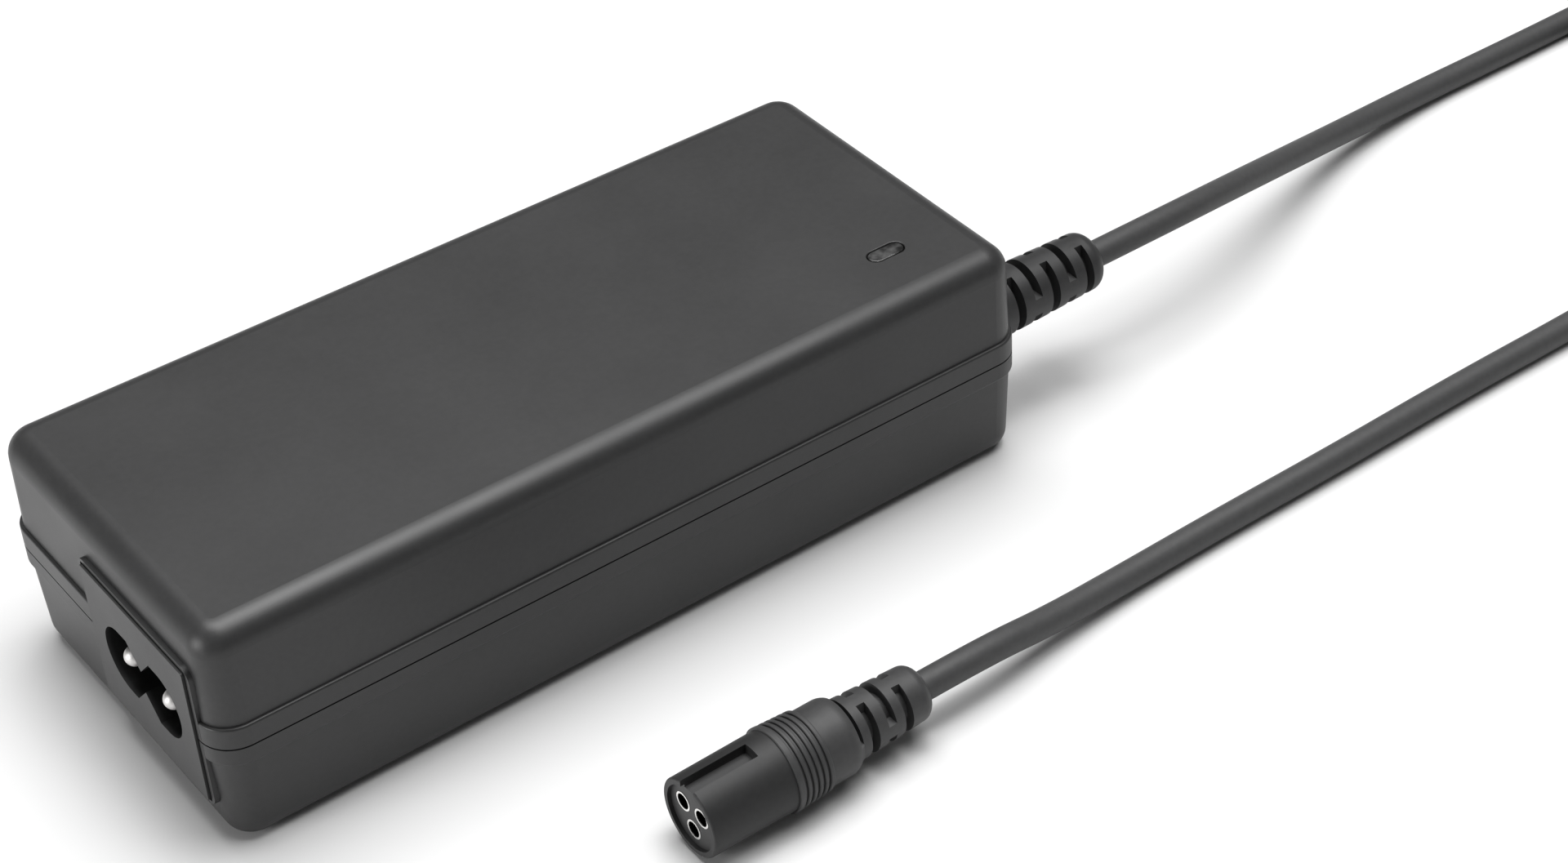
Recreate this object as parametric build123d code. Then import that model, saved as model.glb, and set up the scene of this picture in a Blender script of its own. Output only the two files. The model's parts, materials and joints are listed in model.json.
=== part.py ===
from build123d import *
import math
import os

# A laptop power adapter: a two-part case with a two-pin mains inlet at one end, a low-voltage cord
# at the other end, and a round three-way connector on the cord's far end.
# Millimetres. X runs along the case from the inlet to the cord, Y runs across it, and Z is up from
# the surface that it stands on. The origin is under the middle of the case.

# Case
CASE_LENGTH = 107.0  # over the raised band
CASE_WIDTH = 47.0
CASE_HEIGHT = 29.0
CORNER_R = 4.0
WALL = 2.0
SEAM_Z = 14.15
SEAM_GAP = 0.2
BAND_TOP_Z = 16.93
BAND_BOTTOM_Z = 11.77
BAND_EDGE_R = 0.3
TOP_LEDGE = 0.4  # how far the wall above the band stands back from it
TOP_DRAFT = 1.3  # degrees
BOTTOM_LEDGE = 0.36
BOTTOM_DRAFT = 2.4
TOP_EDGE_R = 3.0
BOTTOM_EDGE_R = 2.6
CAVITY_INSET = TOP_LEDGE + WALL
CAVITY_EDGE_R = 1.2
TONGUE_WIDTH = 1.0  # the lip of the lower half that the upper half slips over
TONGUE_HEIGHT = 1.5
TONGUE_PLAY = 0.15
HALF_LENGTH = CASE_LENGTH / 2
HALF_WIDTH = CASE_WIDTH / 2

# Mains inlet, a figure-8 opening for a C7 plug
INLET_Y = -7.85
INLET_Z = SEAM_Z
FRAME_WIDTH = 24.1
FRAME_BOTTOM_Z = 4.5
FRAME_TOP_Z = 23.8
FRAME_CORNER_R = 1.5
PLATE_WIDTH = 22.3
PLATE_BOTTOM_Z = 5.2
PLATE_TOP_Z = 23.1
PLATE_CORNER_R = 0.3
PLATE_PROUD = 0.3
PLATE_GAP = 0.2
PLATE_DEPTH = 3.3
FLANGE_OVERLAP = 0.9
FLANGE_THICKNESS = 1.4
INLET_BODY_WIDTH = 20.0
INLET_BODY_DEPTH = 16.0
OPENING_WIDTH = 16.4
OPENING_HEIGHT = 8.2
OPENING_DEPTH = 12.5
NOTCH_HALF_WIDTH = 2.45
NOTCH_HEIGHT = 2.6
PIN_SPACING = 8.6
PIN_R = 1.18
PIN_SHANK_R = 1.0  # where the pin is held in the moulding
PIN_TIP_INSET = 0.1
PIN_TAIL = 1.0

# Circuit board and what stands on it
BOARD_X = (-48.8, 48.4)
BOARD_WIDTH = 40.8
BOARD_TOP_Z = 5.7
BOARD_THICKNESS = 1.6
SHEET_THICKNESS = 0.25
POST_R = 1.6
POSTS = ((-34.8, 18.6), (-34.8, -18.8), (46.8, 17.0), (46.6, -18.9))
POST_PLAY = 0.05
LEAD = 0.7
LEAD_OVERLAP = 0.1  # how far a lead reaches into its body
CHIP_STANDOFF = 0.2
CHIP_LEGS = (-1.9, -0.63, 0.63, 1.9)
CHIP_LEG = 0.4
CHIP_LEG_REACH = 0.7
SHEET_X = (-47.5, 47.5)
SHEET_WIDTH = 38.6
HEATSINK_Y = (18.6, 20.2)
HEATSINK_TOP_Z = 24.5
HEATSINK_FLANGE = 1.2  # how far its foot and its top edge reach over the board
HEATSINK_FOOT = 1.0
PRIMARY_HEATSINK_X = (-30.0, 12.0)
SECONDARY_HEATSINK_X = (24.0, 45.0)
MOSFET_X = -3.0
RECTIFIER_X = 34.0
PACKAGE_WIDTH = 10.0
PACKAGE_THICKNESS = 4.4
PACKAGE_Z = (9.5, 18.5)
PACKAGE_LEADS = (-2.54, 0, 2.54)
TAB_TOP_Z = 23.0
TAB_THICKNESS = 1.3
SCREW_Z = 20.8
SCREW_R = 1.5
SCREW_HEAD = 1.8
SCREW_HEAD_R = 2.2
FUSE_X = -30.3
FUSE_Y = -13.7
FUSE_R = 4.2
FUSE_Z = (6.3, 14.5)
FUSE_LEAD_REACH = 2.5
VARISTOR = (-31.0, -3.0, 4.4, 3.4)  # a disc's X, Y, radius and thickness
THERMISTOR = (-31.0, 8.0, 4.2, 3.2)
Y_CAPACITOR = (18.0, 14.6, 3.8, 3.6)
DISC_LIFT = 1.0
X_CAPACITOR_X = (-47.5, -37.8)
X_CAPACITOR_Y = (4.5, 19.2)
X_CAPACITOR_TOP_Z = 19.7
BOX_EDGE_R = 0.8
CHOKE_PLACE = (-20.5, -8.0, 15.6)
CHOKE_CORE = (8.5, 4.5, 8.0)  # outer and inner radius, and thickness
CHOKE_WIRE = 0.9
CHOKE_WINDING_GAP = 8.0
BRIDGE_X = (-29.0, -14.0)
BRIDGE_Y = (14.4, 18.4)
BRIDGE_Z = (9.0, 19.5)
BRIDGE_LEADS_X = (-26.75, -23.75, -20.75, -17.75)
BULK_X = -4.6
BULK_Y = -4.5
BULK_R = 9.0
BULK_LENGTH = 30.0
BULK_LIFT = 0.2
CORE_X = (13.1, 24.1)
CORE_Y = (-14.0, 11.0)
CORE_Z = (6.2, 25.2)
CORE_WINDOWS_Y = ((-10.9, -5.1), (2.1, 7.9))
CORE_WINDOW_Z = (9.4, 22.0)
CORE_PLAY = 0.1
FORMER_X = (8.1, 29.1)
FORMER_EDGE_R = 2.0
DRUM_X = 33.4
DRUM_Y = -15.3
DRUM_R = 4.4
DRUM_HEIGHT = 10.0
DRUM_FLANGE = 1.2
DRUM_WIRE_R = 3.9
CAN_X = 36.0
CAN_Y = (6.4, -5.0)
CAN_R = 5.0
CAN_HEIGHT = 17.0
CAN_EDGE_R = 0.6
CRIMP_Z = 2.0  # above the board
CRIMP_R = 0.4
CRIMP_OFFSET = 0.15
CONTROLLER = (9.5, -17.2, (5.0, 3.0), 1.6)  # a chip's X, Y, size and height
OPTOCOUPLER = (20.5, -17.3, (4.6, 3.6), 3.6)
LAMP_R = 1.5
LAMP_DOME_Z = 20.8
LAMP_RIM_R = 1.8
LAMP_RIM_Z = (17.2, 18.0)
LAMP_LEAD_REACH = 0.8

# Indicator window in the upper cover
LED_X = 40.8
LED_Y = -13.4
LENS_LENGTH = 4.75
LENS_WIDTH = 2.05
LENS_GAP = 0.13
LENS_SUNK = 0.02
LENS_EDGE_R = 0.15
WINDOW_EDGE_R = 0.15
LENS_LIP = 0.9
PIPE_R = 1.0
PIPE_END_Z = 22.5

# Rating label, blank, in a shallow pocket under the case
LABEL_LENGTH = 62.0
LABEL_WIDTH = 30.0
LABEL_CORNER_R = 2.0
LABEL_THICKNESS = 0.2
LABEL_POCKET = 0.3
LABEL_GAP = 0.2

# Low-voltage cord and its strain relief on the case
CORD_R = 1.75
BOOT_Y = -13.8
BOOT_Z = SEAM_Z
BOOT_END_X = 71.9
BOOT_R = 4.35
BOOT_END_R = 3.75
BOOT_END_ROUND = 1.8
BOOT_HOLE_PLAY = 0.05
BOOT_FLANGE_R = 5.9
BOOT_FLANGE_X = (48.8, 50.8)
BOOT_SLOT_FIRST_X = 57.75
BOOT_SLOT_PITCH = 2.775
BOOT_SLOT_WIDTH = 1.18
BOOT_SLOT_ROWS = 5
BOOT_CORE_R = 2.35
BOOT_BRIDGE = 1.2  # half the width of the bridges between two slots of a row
WIRE_R = 0.75
WIRE_PITCH = 2.0
WIRE_X = 45.2
WIRE_BEND_R = 2.0

# Connector on the cord's far end. Its axis lies along X.
PLUG_Y = -53.16
PLUG_Z = 5.15
BARREL_X = (-16.9, -6.2)
BARREL_FRONT_R = 4.7
BARREL_REAR_R = 4.8
BARREL_BORE_R = 3.95
BARREL_EDGE_R = 0.25
BARREL_TAIL_R = 4.2
BARREL_TAIL_X = -1.5
KEYWAY_WIDTH = 2.3
KEYWAY_END_X = -8.6
KEYWAY_FLOOR = 3.45  # above the axis
INSERT_FACE_X = -16.4
INSERT_END_X = -2.5
SOCKET_CIRCLE_R = 1.9  # the circle that the three contacts stand on
SOCKET_ANGLES = (30, 150, 270)
SOCKET_OUTER_R = 1.175
SOCKET_BORE_R = 0.95
SOCKET_PROUD = 0.05
SOCKET_DEPTH = 8.0
GRIP_END_X = -1.5
GRIP_FRONT_R = 5.1
GRIP_REAR_R = 4.85
GRIP_GROOVES_X = (-5.25, -4.49, -3.73, -2.97, -2.2)
GRIP_GROOVE_WIDTH = 0.28
GRIP_GROOVE_DEPTH = 0.3
GRIP_EDGE_R = 0.16
HEAD_R = 4.58
HEAD_END_X = 3.7
HEAD_ROUND = 2.2
TAIL_R = 3.9
TAIL_END_R = 3.27
TAIL_END_X = 13.4
TAIL_END_ROUND = 1.4
TAIL_CORE_R = 2.3
TAIL_BRIDGE = 0.85
TAIL_SLOTS = ((2.87, 0.65, "z"), (4.87, 1.1, "y"), (7.3, 1.1, "z"), (9.58, 1.1, "y"))

# Stored coil of the cord: four turns on the surface and four on top of them
REST_Z = 1.8  # the middle of a cord that lies on the surface
TURN_PITCH = 2 * CORD_R
TURNS_ACROSS = 4
OUTER_TURN_R = 25.0
COIL_X = 191.5
COIL_Y = -26.0
COIL_CLEARANCE = 0.1
COIL_OUTER_R = OUTER_TURN_R + CORD_R + COIL_CLEARANCE
COIL_INNER_R = OUTER_TURN_R - (TURNS_ACROSS - 1) * TURN_PITCH - CORD_R - COIL_CLEARANCE
COIL_HEIGHT = REST_Z + TURN_PITCH + CORD_R + COIL_CLEARANCE
COIL_EDGE_R = 1.4
UPPER_Z = REST_Z + TURN_PITCH
LEAD_X = COIL_X - 13.5  # where both leads meet the coil
TIE_WIDTH = 6.0
TIE_THICKNESS = 0.4
TIE_EDGE_R = 1.6

# The cord's route where it isn't coiled: it leaves the boot level, comes down to the surface
# and lies on it. The second stretch leaves the coil's upper layer and ends at the connector.
ROUTE_TO_COIL = (
    (BOOT_END_X, BOOT_Y, BOOT_Z),
    (83.5, BOOT_Y, BOOT_Z),
    (96.0, -11.8, 12.3),
    (110.5, -7.5, 8.2),
    (126.5, -2.9, 3.8),
    (143.5, -0.8, 1.9),
    (161.5, COIL_Y + OUTER_TURN_R, REST_Z),
    (LEAD_X, COIL_Y + OUTER_TURN_R, REST_Z),
)
ROUTE_TO_PLUG = (
    (LEAD_X, COIL_Y - OUTER_TURN_R, UPPER_Z),
    (166.0, COIL_Y - OUTER_TURN_R, UPPER_Z),
    (152.0, -50.8, 2.9),
    (137.0, -51.1, 1.85),
    (120.0, -51.2, REST_Z),
    (100.0, -50.9, REST_Z),
    (79.0, -51.15, REST_Z),
    (60.0, -51.0, REST_Z),
    (45.0, -51.3, 2.0),
    (33.0, -52.2, 3.1),
    (23.0, PLUG_Y, PLUG_Z),
    (TAIL_END_X, PLUG_Y, PLUG_Z),
)


def block(x, y, z):
    """A box between two values on each axis."""
    size = [high - low for low, high in (x, y, z)]
    middle = [(low + high) / 2 for low, high in (x, y, z)]
    return Pos(*middle) * Box(*size)


def post(x, y, z, radius):
    """An upright cylinder between two heights."""
    return Pos(x, y, (z[0] + z[1]) / 2) * Cylinder(radius, z[1] - z[0])


def rod_x(x, y, z, radius):
    """A cylinder along X between two places."""
    return Pos((x[0] + x[1]) / 2, y, z) * Rot(0, 90, 0) * Cylinder(radius, x[1] - x[0])


def cone_x(x, y, z, first_r, last_r):
    """A cone along X between two places."""
    cone = Cone(first_r, last_r, x[1] - x[0])
    return Pos((x[0] + x[1]) / 2, y, z) * Rot(0, 90, 0) * cone


def ring_x(x, y, z, outer_r, inner_r):
    return rod_x(x, y, z, outer_r) - rod_x(x, y, z, inner_r)


def end_panel(width, bottom, top, corner_r, x):
    """A rounded rectangle about the inlet's middle, upright across the case, between two x."""
    outline = RectangleRounded(width, top - bottom, corner_r)
    upright = Plane.YZ * Pos(INLET_Y, (bottom + top) / 2) * outline
    return Pos(x[0], 0, 0) * extrude(upright, x[1] - x[0])


def case_prism(inset, start, end, draft=0.0):
    """The case's outline, inset on all sides, from one height up or down to another."""
    plane = Plane((0, 0, start), z_dir=(0, 0, 1 if end > start else -1))
    outline = RectangleRounded(CASE_LENGTH - 2 * inset, CASE_WIDTH - 2 * inset, CORNER_R - 0.8 * inset)
    return extrude(plane * outline, abs(end - start), taper=draft)


def inlet_frame():
    """The raised frame round the inlet, level with the band."""
    x = (-HALF_LENGTH, CAVITY_INSET - HALF_LENGTH)
    return end_panel(FRAME_WIDTH, FRAME_BOTTOM_Z, FRAME_TOP_Z, FRAME_CORNER_R, x)


def end_openings():
    """What both covers leave open: the inlet's plate at one end and the cord's boot at the other."""
    plate = end_panel(
        PLATE_WIDTH + 2 * PLATE_GAP,
        PLATE_BOTTOM_Z - PLATE_GAP,
        PLATE_TOP_Z + PLATE_GAP,
        PLATE_CORNER_R,
        (-HALF_LENGTH - WALL, CAVITY_INSET + WALL - HALF_LENGTH),
    )
    boot = rod_x((HALF_LENGTH - 2 * WALL, HALF_LENGTH + WALL), BOOT_Y, BOOT_Z, BOOT_R + BOOT_HOLE_PLAY)
    return plate + boot


def top_cover():
    low = SEAM_Z + SEAM_GAP / 2
    band = case_prism(0, low, BAND_TOP_Z)
    band = fillet(band.edges().group_by(Axis.Z)[-1], BAND_EDGE_R)
    upper = case_prism(TOP_LEDGE, BAND_TOP_Z - BAND_EDGE_R, CASE_HEIGHT, TOP_DRAFT)
    upper = fillet(upper.edges().group_by(Axis.Z)[-1], TOP_EDGE_R)
    above_seam = block((-CASE_LENGTH, CASE_LENGTH), (-CASE_WIDTH, CASE_WIDTH), (low, CASE_HEIGHT))
    outer = band + upper + (inlet_frame() & above_seam)
    cavity = case_prism(CAVITY_INSET, SEAM_Z, CASE_HEIGHT - WALL, TOP_DRAFT)
    cavity = fillet(cavity.edges().group_by(Axis.Z)[-1], CAVITY_EDGE_R)
    rebate_inset = CAVITY_INSET - TONGUE_WIDTH - TONGUE_PLAY
    rebate = case_prism(rebate_inset, SEAM_Z, SEAM_Z + TONGUE_HEIGHT + TONGUE_PLAY)
    cover = outer - cavity - rebate
    for x, y in POSTS:
        cover += post(x, y, (BOARD_TOP_Z + POST_PLAY, CASE_HEIGHT - WALL / 2), POST_R)
    window = SlotOverall(LENS_LENGTH + 2 * LENS_GAP, LENS_WIDTH + 2 * LENS_GAP)
    cover -= extrude(Pos(LED_X, LED_Y, CASE_HEIGHT - 2 * WALL) * window, 3 * WALL)
    middle = Vector(LED_X, LED_Y, CASE_HEIGHT)
    top_edges = cover.edges().group_by(Axis.Z)[-1]
    rim = [edge for edge in top_edges if (edge.center() - middle).length < LENS_LENGTH]
    return fillet(rim, WINDOW_EDGE_R) - end_openings()


def bottom_cover():
    high = SEAM_Z - SEAM_GAP / 2
    band = case_prism(0, high, BAND_BOTTOM_Z)
    band = fillet(band.edges().group_by(Axis.Z)[0], BAND_EDGE_R)
    lower = case_prism(BOTTOM_LEDGE, BAND_BOTTOM_Z + BAND_EDGE_R, 0, BOTTOM_DRAFT)
    lower = fillet(lower.edges().group_by(Axis.Z)[0], BOTTOM_EDGE_R)
    below_seam = block((-CASE_LENGTH, CASE_LENGTH), (-CASE_WIDTH, CASE_WIDTH), (0, high))
    outer = band + lower + (inlet_frame() & below_seam)
    tongue = case_prism(CAVITY_INSET - TONGUE_WIDTH, high, SEAM_Z + TONGUE_HEIGHT)
    cavity = case_prism(CAVITY_INSET, high, WALL, BOTTOM_DRAFT)
    cavity = fillet(cavity.edges().group_by(Axis.Z)[0], CAVITY_EDGE_R)
    cavity += case_prism(CAVITY_INSET, high, SEAM_Z + 2 * TONGUE_HEIGHT)
    cover = outer + tongue - cavity
    for x, y in POSTS:
        cover += post(x, y, (WALL / 2, BOARD_TOP_Z - BOARD_THICKNESS), POST_R)
    pocket = extrude(RectangleRounded(LABEL_LENGTH, LABEL_WIDTH, LABEL_CORNER_R), LABEL_POCKET)
    return cover - pocket - end_openings()


def rating_label():
    outline = RectangleRounded(LABEL_LENGTH - 2 * LABEL_GAP, LABEL_WIDTH - 2 * LABEL_GAP, LABEL_CORNER_R)
    return extrude(Pos(0, 0, LABEL_POCKET - LABEL_THICKNESS) * outline, LABEL_THICKNESS)


def led_lens():
    """The window's lens, with a lip under the cover and a light pipe down to the lamp."""
    top = CASE_HEIGHT - LENS_SUNK
    lip_top = CASE_HEIGHT - WALL
    window = extrude(Pos(LED_X, LED_Y, lip_top) * SlotOverall(LENS_LENGTH, LENS_WIDTH), top - lip_top)
    window = fillet(window.edges().group_by(Axis.Z)[-1], LENS_EDGE_R)
    lip_outline = SlotOverall(LENS_LENGTH + 2 * LENS_LIP, LENS_WIDTH + 2 * LENS_LIP)
    lip = extrude(Pos(LED_X, LED_Y, lip_top - 1.0) * lip_outline, 1.0)
    pipe = post(LED_X, LED_Y, (PIPE_END_Z, lip_top - 0.5), PIPE_R)
    return window + lip + pipe


def figure_eight():
    """The opening's outline: a slot with a notch cut into the middle of each long side."""
    outline = SlotOverall(OPENING_WIDTH, OPENING_HEIGHT)
    for side in (1, -1):
        edge = side * OPENING_HEIGHT / 2
        outline -= make_face(
            Polyline(
                (-NOTCH_HALF_WIDTH, edge),
                (0, edge - side * NOTCH_HEIGHT),
                (NOTCH_HALF_WIDTH, edge),
                (0, edge + side),
                close=True,
            )
        )
    return outline


def inlet_housing():
    front = -HALF_LENGTH - PLATE_PROUD
    flange_x = front + PLATE_DEPTH
    body_x = flange_x + FLANGE_THICKNESS
    plate = end_panel(PLATE_WIDTH, PLATE_BOTTOM_Z, PLATE_TOP_Z, PLATE_CORNER_R, (front, flange_x))
    flange = end_panel(
        PLATE_WIDTH + 2 * FLANGE_OVERLAP,
        PLATE_BOTTOM_Z - FLANGE_OVERLAP,
        PLATE_TOP_Z + FLANGE_OVERLAP,
        PLATE_CORNER_R,
        (flange_x, body_x),
    )
    half_height = INLET_Z - BOARD_TOP_Z
    body = block(
        (body_x, front + INLET_BODY_DEPTH),
        (INLET_Y - INLET_BODY_WIDTH / 2, INLET_Y + INLET_BODY_WIDTH / 2),
        (BOARD_TOP_Z, INLET_Z + half_height),
    )
    opening = Plane.YZ * Pos(INLET_Y, INLET_Z) * figure_eight()
    housing = plate + flange + body - Pos(front, 0, 0) * extrude(opening, OPENING_DEPTH)
    for side in (1, -1):
        pin_y = INLET_Y + side * PIN_SPACING / 2
        housing -= rod_x((front, front + INLET_BODY_DEPTH), pin_y, INLET_Z, PIN_SHANK_R)
    return housing


def inlet_pin(side):
    """A round pin with a domed tip, and a square tail that turns down to the board."""
    y = INLET_Y + side * PIN_SPACING / 2
    front = -HALF_LENGTH - PLATE_PROUD
    dome_x = front + PIN_TIP_INSET + PIN_R
    tail_x = front + INLET_BODY_DEPTH
    pin = rod_x((dome_x, front + OPENING_DEPTH), y, INLET_Z, PIN_R)
    pin += Pos(dome_x, y, INLET_Z) * Sphere(PIN_R)
    pin += rod_x((dome_x, tail_x + PIN_TAIL), y, INLET_Z, PIN_SHANK_R)
    half = PIN_TAIL / 2
    return pin + block((tail_x, tail_x + PIN_TAIL), (y - half, y + half), (BOARD_TOP_Z, INLET_Z))


def main_board():
    z = (BOARD_TOP_Z - BOARD_THICKNESS, BOARD_TOP_Z)
    return block(BOARD_X, (-BOARD_WIDTH / 2, BOARD_WIDTH / 2), z)


def insulation_sheet():
    sheet = block(SHEET_X, (-SHEET_WIDTH / 2, SHEET_WIDTH / 2), (WALL, WALL + SHEET_THICKNESS))
    for x, y in POSTS:
        sheet -= post(x, y, (0, 2 * WALL), POST_R + 2 * POST_PLAY)
    return sheet


def heatsink(x):
    """An upright plate along the case's far side, with a foot on the board."""
    reach = (HEATSINK_Y[0] - HEATSINK_FLANGE, HEATSINK_Y[1])
    plate = block(x, HEATSINK_Y, (BOARD_TOP_Z, HEATSINK_TOP_Z))
    foot = block(x, reach, (BOARD_TOP_Z, BOARD_TOP_Z + HEATSINK_FOOT))
    top = block(x, reach, (HEATSINK_TOP_Z - HEATSINK_FLANGE, HEATSINK_TOP_Z))
    return plate + foot + top


def leads(places, height):
    """Square wire leads from the board up to a height."""
    half = LEAD / 2
    return [block((x - half, x + half), (y - half, y + half), (BOARD_TOP_Z, height)) for x, y in places]


def joined(first, others):
    for other in others:
        first += other
    return first


def transistor(x):
    """A flat three-lead package against a heatsink plate, with its metal tab above."""
    back = HEATSINK_Y[0]
    width = (x - PACKAGE_WIDTH / 2, x + PACKAGE_WIDTH / 2)
    body = block(width, (back - PACKAGE_THICKNESS, back), PACKAGE_Z)
    tab = block(width, (back - TAB_THICKNESS, back), (PACKAGE_Z[1], TAB_TOP_Z))
    places = [(x + offset, back - PACKAGE_THICKNESS / 2) for offset in PACKAGE_LEADS]
    hole = Pos(x, back, SCREW_Z) * Rot(90, 0, 0) * Cylinder(SCREW_R, 2 * TAB_THICKNESS)
    return joined(body + tab, leads(places, PACKAGE_Z[0] + LEAD_OVERLAP)) - hole


def heatsink_screw(x):
    """The screw that holds a package to its heatsink."""
    head = Pos(x, HEATSINK_Y[0] - TAB_THICKNESS - SCREW_HEAD / 2, SCREW_Z) * Rot(90, 0, 0)
    shank = Pos(x, HEATSINK_Y[0] - TAB_THICKNESS / 2, SCREW_Z) * Rot(90, 0, 0)
    return head * Cylinder(SCREW_HEAD_R, SCREW_HEAD) + shank * Cylinder(SCREW_R, TAB_THICKNESS)


def fuse():
    """An upright round fuse on two leads."""
    places = [(FUSE_X - FUSE_LEAD_REACH, FUSE_Y), (FUSE_X + FUSE_LEAD_REACH, FUSE_Y)]
    return joined(post(FUSE_X, FUSE_Y, FUSE_Z, FUSE_R), leads(places, FUSE_Z[0] + LEAD_OVERLAP))


def x_capacitor():
    box = block(X_CAPACITOR_X, X_CAPACITOR_Y, (BOARD_TOP_Z, X_CAPACITOR_TOP_Z))
    return fillet(box.edges().filter_by(Axis.Z), BOX_EDGE_R)


def disc_part(x, y, radius, thickness, along):
    """A round disc on two leads, its flat faces towards X or Y."""
    z = BOARD_TOP_Z + DISC_LIFT + radius
    turn = Rot(0, 90, 0) if along == "x" else Rot(90, 0, 0)
    disc = fillet((Pos(x, y, z) * turn * Cylinder(radius, thickness)).edges(), thickness / 4)
    reach = radius / 2
    places = [(x, y - reach), (x, y + reach)] if along == "x" else [(x - reach, y), (x + reach, y)]
    return joined(disc, leads(places, z - radius / 2))


def can(y):
    """An upright capacitor can with a crimp groove near its foot."""
    body = post(CAN_X, y, (BOARD_TOP_Z, BOARD_TOP_Z + CAN_HEIGHT), CAN_R)
    body = fillet(body.edges().group_by(Axis.Z)[-1], CAN_EDGE_R)
    return body - Pos(CAN_X, y, BOARD_TOP_Z + CRIMP_Z) * Torus(CAN_R + CRIMP_OFFSET, CRIMP_R)


def bulk_capacitor():
    """The large mains capacitor lies across the board on its side."""
    place = Pos(BULK_X, BULK_Y, BOARD_TOP_Z + BULK_LIFT + BULK_R)
    body = place * Rot(90, 0, 0) * Cylinder(BULK_R, BULK_LENGTH)
    return fillet(body.edges(), BOX_EDGE_R)


def toroid(wire):
    """The choke's ring core, with a layer of wire all round it."""
    x, y, z = CHOKE_PLACE
    outer_r, inner_r, thickness = CHOKE_CORE
    half = thickness / 2 + wire
    return ring_x((x - half, x + half), y, z, outer_r + wire, inner_r - wire)


def choke_winding():
    """Two windings, each a ring sector wrapped round the core."""
    x, y, z = CHOKE_PLACE
    reach = 2 * CHOKE_CORE[0]
    half = CHOKE_WINDING_GAP / 2
    gap = block((x - reach, x + reach), (y - half, y + half), (z - reach, z + reach))
    return toroid(CHOKE_WIRE) - toroid(0) - gap


def transformer_core():
    """Two E-shaped ferrite halves, closed round the winding."""
    core = block(CORE_X, CORE_Y, CORE_Z)
    for window in CORE_WINDOWS_Y:
        core -= block(FORMER_X, window, CORE_WINDOW_Z)
    return core


def transformer_winding():
    """The taped winding on its former, round the core's middle leg."""
    x = (CORE_X[0] - CORE_PLAY, CORE_X[1] + CORE_PLAY)
    y = (CORE_WINDOWS_Y[0][0] + CORE_PLAY, CORE_WINDOWS_Y[1][1] - CORE_PLAY)
    leg_y = (CORE_WINDOWS_Y[0][1] - CORE_PLAY, CORE_WINDOWS_Y[1][0] + CORE_PLAY)
    z = (BOARD_TOP_Z, CORE_WINDOW_Z[1] - CORE_PLAY)
    former = block(FORMER_X, y, z) - block(x, y, (BOARD_TOP_Z, CORE_WINDOW_Z[0] + CORE_PLAY))
    rounded = fillet(former.edges().filter_by(Axis.Z).group_by(Axis.X)[0], FORMER_EDGE_R)
    return rounded - block(x, leg_y, z)


def bridge_rectifier():
    places = [(x, (BRIDGE_Y[0] + BRIDGE_Y[1]) / 2) for x in BRIDGE_LEADS_X]
    return joined(block(BRIDGE_X, BRIDGE_Y, BRIDGE_Z), leads(places, BRIDGE_Z[0] + LEAD_OVERLAP))


def output_choke():
    """A drum core with its winding between two flanges."""
    top = BOARD_TOP_Z + DRUM_HEIGHT
    low = post(DRUM_X, DRUM_Y, (BOARD_TOP_Z, BOARD_TOP_Z + DRUM_FLANGE), DRUM_R)
    middle = post(DRUM_X, DRUM_Y, (BOARD_TOP_Z + DRUM_FLANGE, top - DRUM_FLANGE), DRUM_WIRE_R)
    return low + middle + post(DRUM_X, DRUM_Y, (top - DRUM_FLANGE, top), DRUM_R)


def chip(x, y, size, height):
    """A moulded chip with a row of short legs along each long side."""
    half_x, half_y = size[0] / 2, size[1] / 2
    z = (BOARD_TOP_Z + CHIP_STANDOFF, BOARD_TOP_Z + height)
    body = block((x - half_x, x + half_x), (y - half_y, y + half_y), z)
    leg_z = (BOARD_TOP_Z, BOARD_TOP_Z + height / 2)
    legs = []
    for offset in CHIP_LEGS:
        leg_x = (x + offset - CHIP_LEG / 2, x + offset + CHIP_LEG / 2)
        legs.append(block(leg_x, (y - half_y - CHIP_LEG_REACH, y - half_y), leg_z))
        legs.append(block(leg_x, (y + half_y, y + half_y + CHIP_LEG_REACH), leg_z))
    return joined(body, legs)


def status_led():
    """A small domed lamp under the light pipe, on two long leads."""
    dome = Pos(LED_X, LED_Y, LAMP_DOME_Z) * Sphere(LAMP_R)
    body = post(LED_X, LED_Y, (LAMP_RIM_Z[1], LAMP_DOME_Z), LAMP_R)
    body += post(LED_X, LED_Y, LAMP_RIM_Z, LAMP_RIM_R)
    places = [(LED_X - LAMP_LEAD_REACH, LED_Y), (LED_X + LAMP_LEAD_REACH, LED_Y)]
    return joined(dome + body, leads(places, LAMP_RIM_Z[0] + LEAD_OVERLAP))


def slotted_sleeve(x, radii, y, z, end_round):
    """A tapered sleeve along X with a rounded far end."""
    sleeve = cone_x(x, y, z, *radii)
    return fillet(sleeve.edges().sort_by(Axis.X)[-1], end_round)


def slots(x, width, y, z, core_r, bridge, side):
    """A pair of slots across a sleeve, on its two sides or on its top and underside."""
    reach = 2 * BOOT_R
    ring = ring_x((x - width / 2, x + width / 2), y, z, reach, core_r)
    across = (bridge, reach)
    pair = None
    for sign in (1, -1):
        span = sorted(sign * value for value in across)
        y_span = span if side == "y" else (-reach, reach)
        z_span = span if side == "z" else (-reach, reach)
        half = ring & Pos(0, y, z) * block((x - width, x + width), y_span, z_span)
        pair = half if pair is None else pair + half
    return pair


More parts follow.
